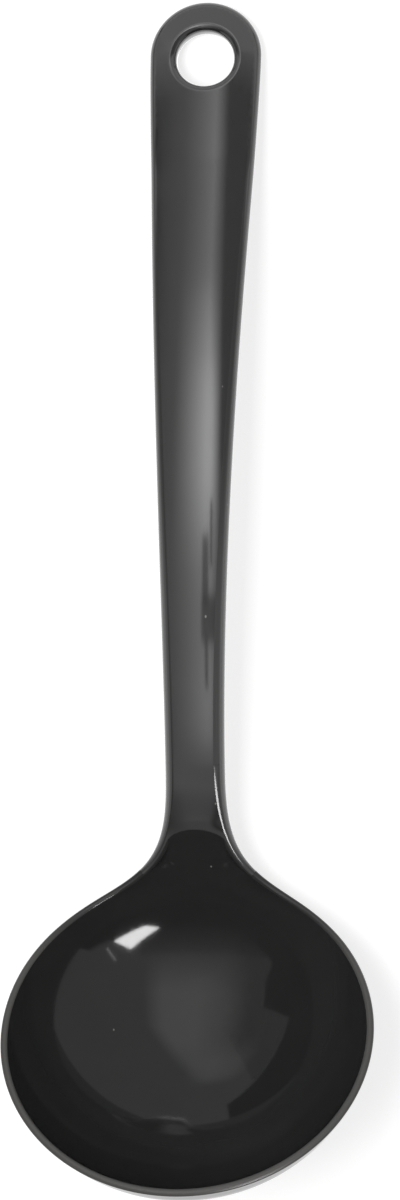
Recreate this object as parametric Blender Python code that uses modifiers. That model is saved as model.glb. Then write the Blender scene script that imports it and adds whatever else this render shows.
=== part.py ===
"""Sauce ladle: a round bowl on a long arched handle with a hang hole, moulded in black plastic.

Metres, +Z up. The ladle lies as it rests on a table, on its bowl and on the end of its handle.
+Y runs from the bowl to the hang hole. +X is to the right, seen from above. The origin is on the
table, under the middle of the ladle's length.

The moulding is one sheet of varying thickness with a full round edge. It is cut in two at the
narrowest part of the neck: the bowl with its shoulders, and the handle.
"""
from math import acos, asin, atan2, cos, pi, radians, sin, sqrt, tan

import bmesh
import bpy
import numpy as np

# Bowl
BOWL_DIAMETER = 0.060
BOWL_DEPTH = 0.021
BOWL_WALL = 0.0020
LIP_WALL = 0.0012
LIP_TAPER = 0.008
BOWL_TILT = radians(36.5)
FOOT_DIAMETER = 0.008

# Shoulders, where the lip leaves its circle and runs into the neck
SHOULDER_ANGLE = radians(49.1)
SHOULDER_PULL = 0.0143
NECK_PULL = 0.0212
SCOOP_SLOPE = radians(32.0)
SCOOP_BEND = 0.001
SCOOP_FLATNESS = 8
ROOT_LENGTH = 0.0225

# Neck, at its narrowest
NECK_LENGTH = 0.0196
NECK_HEIGHT = 0.0131
NECK_SLOPE = radians(11.7)
NECK_WIDTH = 0.0098
NECK_THICKNESS = 0.0038

# Handle, from the neck to the middle of the hang hole
HANDLE_LENGTH = 0.1143
HANDLE_RISE = 0.0521
HANDLE_FALL = 0.0108
HANDLE_STRAIGHT = 0.0384
HANDLE_SWELL = 0.0131
END_FLAT = 0.0166
END_SLOPE = radians(12.1)
END_WIDTH = 0.0183
END_THICKNESS = 0.0028
CROWN_RADIUS = 0.035

# Hang hole
HOLE_DIAMETER = 0.0094
HOLE_TO_TIP = 0.0099
HOLE_EDGE = 0.0011
CUT_MARGIN = 0.002

# The cut between the bowl and the handle, square to the neck
JOINT_GAP = 0.0003

# How finely the curves are drawn
BOWL_BACK_STATIONS = 18
BOWL_SIDE_STATIONS = 8
SHOULDER_STATIONS = 22
HANDLE_STATIONS = 26
END_STATIONS = 8
BOWL_COLUMNS = 10
HANDLE_COLUMNS = 4
EDGE_STEPS = 6
HOLE_STEPS = 48
HOLE_EDGE_STEPS = 4
CURVE_SAMPLES = 200
SHARP_ANGLE = radians(45.0)

# Points closer than this are one point. A row or a face flatter than this is drawn with this bend
SAME_POINT = 0.000001
LEAST_BEND = 0.001
LEAST_CURVATURE = 0.001

# Worked out from the sizes above. The bowl's sheet is a cap of a sphere through the lip. It lies half
# the lip's thickness under the bowl's inside, and the wall grows thicker on the outside only.
HALF_LIP = LIP_WALL / 2
WALL_GROWTH = BOWL_WALL - LIP_WALL
LIP_RADIUS = BOWL_DIAMETER / 2 - HALF_LIP
CAP_HEIGHT = BOWL_DEPTH - BOWL_WALL
SPHERE_RADIUS = (LIP_RADIUS**2 + CAP_HEIGHT**2) / (2 * CAP_HEIGHT)
OUTER_RADIUS = SPHERE_RADIUS + HALF_LIP + WALL_GROWTH
SPHERE_HEIGHT = sqrt(OUTER_RADIUS**2 - (FOOT_DIAMETER / 2)**2)
LIP_DROP = SPHERE_RADIUS - CAP_HEIGHT
CAP_ANGLE = atan2(LIP_RADIUS, LIP_DROP)

# How far the bowl reaches backwards, where its far side stands upright below the lip
UPRIGHT = min(max(CAP_ANGLE + BOWL_TILT - pi / 2, 0) * SPHERE_RADIUS / LIP_TAPER, 1)
BACK_REACH = SPHERE_RADIUS + HALF_LIP + WALL_GROWTH * UPRIGHT**2 * (3 - 2 * UPRIGHT)

BOWL_AXIS = np.array([0.0, sin(BOWL_TILT), cos(BOWL_TILT)])
BOWL_FORWARD = np.array([0.0, cos(BOWL_TILT), -sin(BOWL_TILT)])
LIP_CENTRE = np.array([0.0, 0.0, SPHERE_HEIGHT]) - LIP_DROP * BOWL_AXIS

NECK_Y = LIP_CENTRE[1] + LIP_RADIUS * cos(BOWL_TILT) + NECK_LENGTH
ROOT_Y = NECK_Y - ROOT_LENGTH
HOLE_Y = NECK_Y + HANDLE_LENGTH
END_RADIUS = END_WIDTH / 2
ROUND_Y = HOLE_Y + (HOLE_TO_TIP - END_RADIUS) * cos(END_SLOPE)
TIP_Y = HOLE_Y + (HOLE_TO_TIP - END_THICKNESS / 2) * cos(END_SLOPE)
FLAT_Y = HOLE_Y - END_FLAT
FLAT_HEIGHT = END_THICKNESS / 2 + (TIP_Y - FLAT_Y) * tan(END_SLOPE)
SCOOP_Y = SPHERE_RADIUS * sin(SCOOP_SLOPE)
SCOOP_HEIGHT = SPHERE_HEIGHT - SPHERE_RADIUS * cos(SCOOP_SLOPE)
CORNER_Y = (NECK_HEIGHT - SCOOP_HEIGHT + SCOOP_Y * tan(SCOOP_SLOPE) - NECK_Y * tan(NECK_SLOPE)) / (
    tan(SCOOP_SLOPE) - tan(NECK_SLOPE))
CORNER_HEIGHT = NECK_HEIGHT + (CORNER_Y - NECK_Y) * tan(NECK_SLOPE)

# The face's arc across the end: how far it leans at the edge, and its rise over the sheet
END_REACH = END_RADIUS - END_THICKNESS / 2
END_LEAN = asin(END_REACH / (CROWN_RADIUS - END_THICKNESS / 2))
END_LIFT = CROWN_RADIUS - (CROWN_RADIUS - END_THICKNESS / 2) * cos(END_LEAN)

# The ladle's middle, measured from the middle of the foot that the bowl rests on
MIDDLE_Y = (TIP_Y + END_THICKNESS / 2 - BACK_REACH) / 2


def bezier(controls, steps):
    """Points of the cubic curve with these four control points, at the given steps from 0 to 1."""
    t = np.asarray(steps, dtype=float)[:, None]
    start, leave, arrive, end = (np.asarray(point, dtype=float) for point in controls)
    return (1 - t)**3 * start + 3 * (1 - t)**2 * t * leave + 3 * (1 - t) * t**2 * arrive + t**3 * end


def curve_at(controls, y):
    """Height of a cubic curve in the plane of Y and height, at each y."""
    points = bezier(controls, np.linspace(0, 1, CURVE_SAMPLES))
    return np.interp(y, points[:, 0], points[:, 1])


def ease(start, end, y):
    """0 before start, 1 after end, and a smooth step between."""
    t = np.clip((np.asarray(y) - start) / (end - start), 0, 1)
    return t * t * (3 - 2 * t)


def bend_curve():
    """Side view of the short bend from the scoop's slope into the neck's."""
    corner = np.array([CORNER_Y, CORNER_HEIGHT])
    start = corner - SCOOP_BEND * np.array([cos(SCOOP_SLOPE), sin(SCOOP_SLOPE)])
    end = corner + SCOOP_BEND * np.array([cos(NECK_SLOPE), sin(NECK_SLOPE)])
    return start, (start + corner) / 2, (end + corner) / 2, end


def arch_curve():
    """Side view of the handle's arch, from the neck to the flat stretch before the hole."""
    start = np.array([NECK_Y, NECK_HEIGHT])
    end = np.array([FLAT_Y, FLAT_HEIGHT])
    leave = start + HANDLE_RISE * np.array([cos(NECK_SLOPE), sin(NECK_SLOPE)])
    arrive = end + HANDLE_FALL * np.array([-cos(END_SLOPE), sin(END_SLOPE)])
    return start, leave, arrive, end


def middle_height(y):
    """Height of the sheet's middle line: sphere, straight scoop, bend, straight neck, arch and flat end."""
    y = np.asarray(y, dtype=float)
    bend = bend_curve()
    sphere = SPHERE_HEIGHT - np.sqrt(SPHERE_RADIUS**2 - np.clip(y, 0, SCOOP_Y)**2)
    scoop = SCOOP_HEIGHT + (y - SCOOP_Y) * tan(SCOOP_SLOPE)
    neck = NECK_HEIGHT + (y - NECK_Y) * tan(NECK_SLOPE)
    flat = FLAT_HEIGHT - (y - FLAT_Y) * tan(END_SLOPE)
    return np.select([y <= SCOOP_Y, y <= bend[0][0], y <= bend[3][0], y <= NECK_Y, y <= FLAT_Y],
                     [sphere, scoop, curve_at(bend, y), neck, curve_at(arch_curve(), y)], flat)


def half_width(y):
    """Half the handle's width: straight out of the neck, swelling into the round end."""
    controls = ((NECK_Y, NECK_WIDTH / 2), (NECK_Y + HANDLE_STRAIGHT, NECK_WIDTH / 2),
                (ROUND_Y - HANDLE_SWELL, END_RADIUS), (ROUND_Y, END_RADIUS))
    return curve_at(controls, y)


def half_thickness(y):
    """Half the edge's thickness: thin round the bowl, thickest at the neck, thinner at the end."""
    root = ease(ROOT_Y, NECK_Y, y)
    tip = ease(NECK_Y, FLAT_Y, y)
    return HALF_LIP + root * (NECK_THICKNESS / 2 - HALF_LIP) - tip * (NECK_THICKNESS - END_THICKNESS) / 2


def wall_growth(y, from_edge):
    """How much more the bowl's back lies off the sheet than the edge's half thickness."""
    return WALL_GROWTH * ease(0, LIP_TAPER, from_edge) * (1 - ease(ROOT_Y, NECK_Y, y))


def face_curvature(y):
    """Curvature of the face across the ladle: none in the bowl, a full crown from the neck on."""
    return LEAST_CURVATURE + ease((SCOOP_Y + NECK_Y) / 2, NECK_Y, y) * (1 / CROWN_RADIUS - LEAST_CURVATURE)


def lip_circle(angles):
    """Middle of the lip round the bowl, by the angle from the handle's side."""
    across = np.sin(angles)[:, None] * np.array([1.0, 0.0, 0.0])
    forward = np.cos(angles)[:, None] * BOWL_FORWARD
    return LIP_CENTRE + LIP_RADIUS * (across + forward)


def shoulder_curve():
    """The lip from its circle to the neck: it leaves along the circle and arrives along the neck."""
    start = lip_circle(np.array([SHOULDER_ANGLE]))[0]
    leaving = -cos(SHOULDER_ANGLE) * np.array([1.0, 0.0, 0.0]) + sin(SHOULDER_ANGLE) * BOWL_FORWARD
    end = np.array([(NECK_WIDTH - NECK_THICKNESS) / 2, NECK_Y, NECK_HEIGHT])
    arriving = np.array([0.0, cos(NECK_SLOPE), sin(NECK_SLOPE)])
    return start, start + SHOULDER_PULL * leaving, end - NECK_PULL * arriving, end


def bowl_sheet():
    """Rows of the bowl's sheet, each an arc that starts level and ends on the lip.

    Behind the lowest point the rows fan out from it. In front of it each row starts on the
    middle line, straight across from its point on the lip.
    """
    side = acos(-LIP_CENTRE[1] / (LIP_RADIUS * cos(BOWL_TILT)))
    back = lip_circle(np.linspace(pi, side, BOWL_BACK_STATIONS, endpoint=False))
    front = lip_circle(np.linspace(side, SHOULDER_ANGLE, BOWL_SIDE_STATIONS, endpoint=False))
    shoulder = bezier(shoulder_curve(), np.linspace(0, 1, SHOULDER_STATIONS))
    edge = np.concatenate([back, front, shoulder])
    foot_y = np.maximum(edge[:, 1], 0)
    foot = np.stack([np.zeros(len(edge)), foot_y, middle_height(foot_y)], axis=1)
    return foot, edge


def arc_rows(foot, edge, columns):
    """Each row rises from level at its foot to its point on the lip.

    In the bowl it is a circular arc. In the scoop it turns into a power of the way across, which
    keeps the floor flat and lifts it close to the lip.
    """
    u = np.linspace(0, 1, columns + 1)[None, :]
    flat = ease(SCOOP_Y, CORNER_Y, foot[:, 1])[:, None]
    reach = (edge - foot) * np.array([1.0, 1.0, 0.0])
    rise = (edge - foot)[:, 2]
    bend = 2 * np.arctan2(rise, np.linalg.norm(reach, axis=1))
    bend = np.where(np.abs(bend) < LEAST_BEND, LEAST_BEND, bend)[:, None]
    out = np.sin(u * bend) / np.sin(bend)
    up = (1 - flat) * (1 - np.cos(u * bend)) / (1 - np.cos(bend)) + flat * u**SCOOP_FLATNESS
    rows = foot[:, None, :] + out[:, :, None] * reach[:, None, :]
    rows[:, :, 2] += up * rise[:, None]
    slope = (bend / np.sin(bend) * np.cos(u * bend))[:, :, None] * reach[:, None, :]
    climb = (1 - flat) * bend / (1 - np.cos(bend)) * np.sin(u * bend)
    climb += flat * SCOOP_FLATNESS * u**(SCOOP_FLATNESS - 1)
    slope[:, :, 2] += climb * rise[:, None]
    return rows, slope


def handle_sheet():
    """Rows straight across the handle, then rows that fan out round its end."""
    start = NECK_Y + JOINT_GAP * cos(NECK_SLOPE)
    y = np.linspace(start, ROUND_Y, HANDLE_STATIONS, endpoint=False)
    foot = np.stack([np.zeros(len(y)), y, middle_height(y)], axis=1)
    edge = foot.copy()
    edge[:, 0] = half_width(y) - half_thickness(y)
    turn = np.linspace(0, pi / 2, END_STATIONS + 1)[:, None]
    middle = np.array([0.0, ROUND_Y, float(middle_height(ROUND_Y))])
    along = np.array([0.0, cos(END_SLOPE), -sin(END_SLOPE)])
    radius = END_RADIUS - END_THICKNESS / 2
    end_edge = middle + radius * (np.cos(turn) * np.array([1.0, 0.0, 0.0]) + np.sin(turn) * along)
    end_foot = np.repeat(middle[None, :], len(turn), axis=0)
    return np.concatenate([foot, end_foot]), np.concatenate([edge, end_edge])


def straight_rows(foot, edge, columns):
    """Each row runs straight from its foot to the edge."""
    u = np.linspace(0, 1, columns + 1)[None, :, None]
    span = (edge - foot)[:, None, :]
    return foot[:, None, :] + u * span, np.repeat(span, columns + 1, axis=1)


def unit(vectors):
    """Vectors of the same directions with a length of one."""
    length = np.linalg.norm(vectors, axis=-1, keepdims=True)
    return np.divide(vectors, length, out=np.zeros_like(vectors), where=length > 0)


def sheet_normals(rows, slope):
    """Upward normals of the sheet at every point, level across x where they lie in the plane x = 0.

    Where rows share their foot, that point has no normal of its own and takes its neighbour's.
    """
    along = np.gradient(rows, axis=0, edge_order=2)
    normal = unit(np.cross(slope, along))
    shared = np.linalg.norm(along[:, 0], axis=1) < SAME_POINT
    normal[shared, 0] = normal[shared, 1]
    normal[np.abs(rows[:, :, 0]) < SAME_POINT, 0] = 0
    return unit(normal)


def thick_sheet(rows, slope, edge):
    """Rings round the sheet, from the middle of its face over the round edge to its back.

    The edge is part of a circle of half its thickness, square to the edge's own direction. The back
    lies that far off the sheet, along its normal, and further where the wall grows away from the
    edge. The face is an arc across each row, and runs smoothly into the edge, where it leans by
    the arc's full turn.
    """
    normal = sheet_normals(rows, slope)
    half = half_thickness(rows[:, :1, 1])
    curvature = face_curvature(rows[:, :1, 1])
    reach = np.linalg.norm(edge - rows[:, 0], axis=1)[:, None]
    lean = np.arcsin(curvature * reach / (1 - curvature * half))
    u = np.linspace(0, 1, rows.shape[1])[None, :]
    shift = np.sin(u * lean) / curvature - u * reach
    lift = half * np.cos(lean) + (np.cos(u * lean) - np.cos(lean)) / curvature
    front = rows + shift[:, :, None] * unit(slope) + lift[:, :, None] * normal
    back = rows - (half + wall_growth(rows[:, :1, 1], (1 - u) * reach))[:, :, None] * normal

    tangent = np.gradient(edge, axis=0, edge_order=2)
    tangent[np.abs(edge[:, 0]) < SAME_POINT, 1:] = 0
    edge_normal = normal[:, -1]
    outward = unit(np.cross(tangent, edge_normal))
    outward *= np.sign(np.sum(outward * slope[:, -1], axis=1))[:, None]
    turn = lean + (pi - lean) * np.linspace(0, 1, EDGE_STEPS + 1)[None, 1:-1]
    rim = edge[:, None, :] + half[:, :, None] * (np.cos(turn)[:, :, None] * edge_normal[:, None, :]
                                                 + np.sin(turn)[:, :, None] * outward[:, None, :])
    return np.concatenate([front, rim, back[:, ::-1]], axis=1)


def half_solid(name, rings, cut_end, at):
    """The right half of a solid, open at the plane x = 0, closed at its cut end."""
    stations, columns = rings.shape[:2]
    index = np.arange(stations * columns).reshape(stations, columns)
    quads = np.stack([index[:-1, :-1], index[:-1, 1:], index[1:, 1:], index[1:, :-1]], axis=-1)
    faces = quads.reshape(-1, 4).tolist()
    cap = index[cut_end].tolist()
    faces.append(cap[::-1] if cut_end == 0 else cap)
    points = rings - np.asarray(at)
    points[np.abs(points[:, :, 0]) < SAME_POINT, 0] = 0
    mesh = bpy.data.meshes.new(name)
    mesh.from_pydata(points.reshape(-1, 3).tolist(), [], faces)
    shape = bmesh.new()
    shape.from_mesh(mesh)
    bmesh.ops.remove_doubles(shape, verts=shape.verts, dist=SAME_POINT)
    shape.to_mesh(mesh)
    shape.free()
    return mesh


def add_part(mesh, at, material, collection, parent):
    """One object for a half mesh, mirrored across x = 0 and shaded smooth."""
    part = bpy.data.objects.new(mesh.name, mesh)
    collection.objects.link(part)
    part.parent = parent
    part.location = at
    mesh.materials.append(material)
    mesh.shade_smooth()
    mesh.set_sharp_from_angle(angle=SHARP_ANGLE)
    mirror = part.modifiers.new("both halves", 'MIRROR')
    mirror.use_axis = (True, False, False)
    mirror.use_clip = True
    mirror.merge_threshold = 0.00001
    return part


def plastic(name, colour, roughness):
    """Glossy moulded plastic."""
    material = bpy.data.materials.new(name)
    material.use_nodes = True
    shader = material.node_tree.nodes["Principled BSDF"]
    shader.inputs["Base Color"].default_value = (*colour, 1.0)
    shader.inputs["Roughness"].default_value = roughness
    shader.inputs["Metallic"].default_value = 0.0
    return material


def hole_profile():
    """Outer side of the cutter, top to bottom: wide above the face, rounded into the bore and out again."""
    radius = HOLE_DIAMETER / 2
    mouth = radius + HOLE_EDGE
    face = END_LIFT - (CROWN_RADIUS - sqrt(CROWN_RADIUS**2 - mouth**2))
    back = -END_THICKNESS / 2
    turn = np.linspace(0, pi / 2, HOLE_EDGE_STEPS + 1)
    upper = [(mouth - HOLE_EDGE * sin(a), face - HOLE_EDGE + HOLE_EDGE * cos(a)) for a in turn]
    lower = [(mouth - HOLE_EDGE * sin(a), back + HOLE_EDGE - HOLE_EDGE * cos(a)) for a in turn[::-1]]
    top = END_LIFT + CUT_MARGIN
    bottom = back - CUT_MARGIN
    return [(0, top), (mouth, top)] + upper + lower + [(mouth, bottom), (0, bottom)]


def add_hole_cutter(collection, parent):
    """A turned solid that cuts the hang hole with its rounded mouths, square to the flat end."""
    profile = hole_profile()
    mesh = bpy.data.meshes.new("hang_hole_cutter")
    points = [(radius, 0.0, height) for radius, height in profile]
    mesh.from_pydata(points, [(i, i + 1) for i in range(len(points) - 1)], [])
    cutter = bpy.data.objects.new("hang_hole_cutter", mesh)
    collection.objects.link(cutter)
    cutter.parent = parent
    cutter.location = (0, HOLE_Y, float(middle_height(HOLE_Y)))
    cutter.rotation_euler = (-END_SLOPE, 0, 0)
    turned = cutter.modifiers.new("turned", 'SCREW')
    turned.steps = HOLE_STEPS
    turned.render_steps = HOLE_STEPS
    turned.use_merge_vertices = True
    turned.merge_threshold = 0.00001
    cutter.display_type = 'WIRE'
    cutter.hide_render = True
    return cutter


def trim_foot(mesh):
    """Cuts the half bowl flat at the table's plane, and closes the cut with one flat face."""
    shape = bmesh.new()
    shape.from_mesh(mesh)
    geometry = shape.verts[:] + shape.edges[:] + shape.faces[:]
    cut = bmesh.ops.bisect_plane(shape, geom=geometry, dist=SAME_POINT, plane_co=(0, 0, 0),
                                 plane_no=(0, 0, -1), clear_outer=True)
    rim = [item for item in cut["geom_cut"] if isinstance(item, bmesh.types.BMVert)]
    rim.sort(key=lambda vert: atan2(vert.co.y, vert.co.x), reverse=True)
    shape.faces.new(rim)
    shape.to_mesh(mesh)
    shape.free()


def add_bowl(collection, parent):
    """The bowl with its lip and foot, its shoulders and the scoop that runs up into the neck."""
    foot, edge = bowl_sheet()
    rows, slope = arc_rows(foot, edge, BOWL_COLUMNS)
    rings = thick_sheet(rows, slope, edge)
    at = (0.0, 0.0, 0.0)
    mesh = half_solid("bowl", rings, len(rings) - 1, at)
    trim_foot(mesh)
    return add_part(mesh, at, plastic("bowl_black", (0.011, 0.011, 0.011), 0.22), collection, parent)


def add_handle(collection, parent, cutters):
    """The arched handle, from the neck to the rounded end with its hang hole."""
    foot, edge = handle_sheet()
    rows, slope = straight_rows(foot, edge, HANDLE_COLUMNS)
    rings = thick_sheet(rows, slope, edge)
    at = (0.0, NECK_Y, NECK_HEIGHT)
    mesh = half_solid("handle", rings, 0, at)
    handle = add_part(mesh, at, plastic("handle_black", (0.012, 0.012, 0.012), 0.25), collection, parent)
    hole = handle.modifiers.new("hang hole", 'BOOLEAN')
    hole.operation = 'DIFFERENCE'
    hole.object = add_hole_cutter(cutters, parent)
    return handle


def main():
    """Clear the scene and build the ladle."""
    for item in list(bpy.data.objects):
        bpy.data.objects.remove(item, do_unlink=True)
    ladle = bpy.data.collections.new("sauce_ladle")
    cutters = bpy.data.collections.new("cutters")
    bpy.context.scene.collection.children.link(ladle)
    bpy.context.scene.collection.children.link(cutters)
    rest = bpy.data.objects.new("rest_point", None)
    ladle.objects.link(rest)
    rest.location = (0, -MIDDLE_Y, 0)
    add_bowl(ladle, rest)
    add_handle(ladle, rest, cutters)


main()
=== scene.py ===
"""Sauce ladle: a round bowl on a long arched handle with a hang hole, moulded in black nylon.

Metres, +Z up. The ladle lies on a white table, on its bowl and on the end of its handle. +Y runs
from the bowl to the hang hole. The origin is on the table, under the middle of the ladle.
"""
from math import acos, atan2, cos, pi, radians, sin, sqrt, tan

import bmesh
import bpy
import numpy as np
from bpy.props import FloatProperty, PointerProperty, StringProperty
from bpy.types import Operator, Panel, PropertyGroup
from mathutils import Matrix


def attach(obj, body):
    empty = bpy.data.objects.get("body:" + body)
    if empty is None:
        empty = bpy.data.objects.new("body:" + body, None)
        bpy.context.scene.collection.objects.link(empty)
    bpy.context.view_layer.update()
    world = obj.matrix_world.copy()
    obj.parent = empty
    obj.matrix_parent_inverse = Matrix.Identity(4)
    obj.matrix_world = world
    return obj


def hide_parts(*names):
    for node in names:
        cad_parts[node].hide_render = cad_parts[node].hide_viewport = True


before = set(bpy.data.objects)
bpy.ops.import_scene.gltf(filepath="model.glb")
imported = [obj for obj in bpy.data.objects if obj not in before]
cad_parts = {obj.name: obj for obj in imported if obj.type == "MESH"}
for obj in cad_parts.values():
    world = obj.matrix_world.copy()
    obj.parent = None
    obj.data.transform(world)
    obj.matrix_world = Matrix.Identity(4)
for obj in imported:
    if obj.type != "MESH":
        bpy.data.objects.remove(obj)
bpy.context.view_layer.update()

bl_info = {
    "name": "Sauce Ladle",
    "version": (1, 0, 0),
    "blender": (4, 5, 0),
    "location": "3D View > Sidebar > Ladle",
    "description": "Builds a black moulded sauce ladle, its table, lights and camera",
    "category": "Add Mesh",
}

# How finely the surfaces are drawn, in rows and columns of points
BACK_STATIONS = 90
SIDE_STATIONS = 40
SHOULDER_STATIONS = 110
HANDLE_STATIONS = 190
END_STATIONS = 40
FACE_COLUMNS = 40
EDGE_STEPS = 16
HOLE_ROWS = 14
HOLE_EDGE_STEPS = 8
HOLE_ROW_POWER = 1.3
CURVE_SAMPLES = 4000
ROUND_EDGE = slice(FACE_COLUMNS, FACE_COLUMNS + EDGE_STEPS + 1)

# Lengths in metres within which points are one, and the least bend and curvature that are drawn
SAME_POINT = 0.0000005
SLOPE_STEP = 0.0001
SEAM_GAP = 0.000003
SEAM_ROOM = 0.00001
LEAST_BEND = 0.001
LEAST_CURVATURE = 0.001

# The face's patch starts this many hole diameters before the hole
HOLE_ROOM = 1.6
# Share of the scoop over which its floor turns flat and back
SCOOP_TURN = 0.4
# How much of the lip's satin, and of its painted sheen, is lost towards the handle
SATIN_LOSS = 0.85
SHARP_ANGLE = radians(50)
ACROSS = np.array([1.0, 0.0, 0.0])
OTHER_SIDE = np.array([-1.0, 1.0, 1.0])

TABLE_REACH = 1.2
# The camera's sensor in millimetres, and the photograph's height and scale in pixels
SENSOR_HEIGHT = 36.0
FRAME_HEIGHT = 1200
PIXELS_PER_METRE = 6093.6


def length(name, text, value):
    """A size property in metres, with its description and default."""
    return FloatProperty(name=name, description=text, default=value, min=0.0, unit='LENGTH', precision=5)


def angle(name, text, degrees):
    """An angle property, given in degrees."""
    return FloatProperty(name=name, description=text, default=radians(degrees), subtype='ANGLE')


def amount(name, text, value, least=0.0):
    """A plain number with a lower limit."""
    return FloatProperty(name=name, description=text, default=value, min=least)


def share(name, text, value):
    """A property from 0 to 1."""
    return FloatProperty(name=name, description=text, default=value, min=0.0, max=1.0, subtype='FACTOR')


def hex_colour(name, value):
    """A colour property, kept as an sRGB hex value."""
    return StringProperty(name=name, description="sRGB hex value", default=value)


class LadleShape(PropertyGroup):
    """Sizes of the moulding."""
    bowl_diameter: length("Bowl diameter", "Across the lip, outside", 0.060)
    bowl_depth: length("Bowl depth", "From the lip to the lowest point, outside", 0.021)
    bowl_wall: length("Bowl wall", "Thickness of the bowl's wall", 0.0020)
    lip_wall: length("Lip wall", "Thickness of the wall at the lip", 0.0012)
    lip_taper: length("Lip taper", "How far below the lip the wall has its full thickness", 0.008)
    bowl_tilt: angle("Bowl tilt", "How far the lip leans towards the handle", 36.5)
    foot_diameter: length("Foot diameter", "Flat spot under the bowl", 0.008)
    shoulder_angle: angle("Shoulder angle", "Where the lip leaves its circle, from the handle", 49.1)
    shoulder_pull: length("Shoulder pull", "How far the lip runs on along its circle", 0.0143)
    neck_pull: length("Neck pull", "How far the lip runs straight into the neck", 0.0212)
    scoop_slope: angle("Scoop slope", "Slope at which the scoop leaves the bowl", 32.0)
    scoop_bend: length("Scoop bend", "Length of each side of the bend from the scoop into the neck", 0.0010)
    scoop_flatness: amount("Scoop flatness", "Power by which the floor lifts to the lip", 8.0, 2.0)
    root_length: length("Root length", "How far before the neck the edge starts to thicken", 0.0225)
    neck_length: length("Neck length", "From the lip's circle to the narrowest part", 0.0196)
    neck_height: length("Neck height", "Middle of the neck over the table", 0.0131)
    neck_slope: angle("Neck slope", "Slope of the neck", 11.7)
    neck_width: length("Neck width", "Narrowest width", 0.0098)
    neck_thickness: length("Neck thickness", "Thickness at the neck", 0.0038)
    handle_length: length("Handle length", "From the neck to the middle of the hole", 0.1143)
    handle_rise: length("Handle rise", "How far the neck's slope carries into the arch", 0.0521)
    handle_fall: length("Handle fall", "How far the end's slope carries into the arch", 0.0108)
    handle_straight: length("Handle straight", "How far the handle stays narrow", 0.0384)
    handle_swell: length("Handle swell", "How far the round end's width carries down", 0.0131)
    end_flat: length("Flat end", "Straight stretch before the hole", 0.0166)
    end_slope: angle("End slope", "Slope of the flat end", 12.1)
    end_width: length("End width", "Width of the round end", 0.0183)
    end_thickness: length("End thickness", "Thickness of the end at its edge", 0.0028)
    crown_radius: length("Crown radius", "Radius of the handle's face across it", 0.035)
    hole_diameter: length("Hole diameter", "Diameter of the hang hole", 0.0094)
    hole_to_tip: length("Hole to tip", "From the middle of the hole to the tip", 0.0099)
    hole_edge: length("Hole edge", "Radius of the hole's rounded edges", 0.0011)


class LadleFinish(PropertyGroup):
    """Colour and gloss of the plastic."""
    plastic_colour: hex_colour("Plastic colour", "262626")
    speck_and_sheen_colour: hex_colour("Speck colour", "C4C2BE")
    gloss: share("Gloss", "Roughness of the polished surface", 0.05)
    lip_gloss: share("Lip gloss", "Roughness of the bowl's satin lip", 0.32)
    # Painted sheen: how far the lip's colour is greyed, standing in for the light its satin shows
    lip_painted_sheen: share("Lip haze", "How far the satin lip is greyed towards the speck colour", 0.12)


class LadleStage(PropertyGroup):
    """Table, lights and camera."""
    table_colour: hex_colour("Table colour", "BCBCBC")
    table_lift: amount("Table lift", "How much lighter the camera sees the table", 0.70)
    room_light: amount("Room light", "Strength of the light from all round", 0.44)
    key_light: amount("Key light", "Brightness of the lamp at the left", 13.0)
    strip_light: amount("Strip light", "Brightness of the strip over the handle", 5.8)
    strip_spill: amount("Strip spill", "Brightness of the cloth beside the strip", 0.7)
    wall_light: amount("Wall light", "Faint light of the wall beside the strip", 0.45)
    end_light: amount("End light", "Brightness of the wide light over the handle's end", 1.3)
    round_light: amount("Round light", "Brightness of the light over the bowl", 0.62)
    window_light: amount("Window light", "Brightness of the window at the right", 18.0)
    table_shine: amount("Table shine", "Brightness of the table as the handle shows it", 2.2)
    bowl_shine: amount("Bowl shine", "Brightness of the table as the bowl's lip shows it", 0.8)
    side_light: amount("Side light", "Brightness of the white cards beside the handle", 1.0)
    low_light: amount("Low light", "Glow of the white cards close to the table", 1.8)
    camera_distance: length("Camera distance", "From the camera to the ladle", 0.9)


def bezier(controls, steps):
    """Points of the cubic curve with these four control points, at the given steps from 0 to 1."""
    t = np.asarray(steps, dtype=float)[:, None]
    start, leave, arrive, end = (np.asarray(point, dtype=float) for point in controls)
    return (1 - t)**3 * start + 3 * (1 - t)**2 * t * leave + 3 * (1 - t) * t**2 * arrive + t**3 * end


def curve_at(controls, y):
    """Height of a cubic curve in the plane of Y and height, at each y."""
    points = bezier(controls, np.linspace(0, 1, CURVE_SAMPLES))
    return np.interp(y, points[:, 0], points[:, 1])


def ease(start, end, y):
    """0 before start, 1 after end, and a smooth step between."""
    t = np.clip((np.asarray(y) - start) / (end - start), 0, 1)
    return t * t * (3 - 2 * t)


def uphill(slope):
    """Direction that climbs at this slope, as its shares along Y and up."""
    return np.array([cos(slope), sin(slope)])


def unit(vectors):
    """Vectors of the same directions with a length of one."""
    size = np.linalg.norm(vectors, axis=-1, keepdims=True)
    return np.divide(vectors, size, out=np.zeros_like(vectors), where=size > 0)


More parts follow.
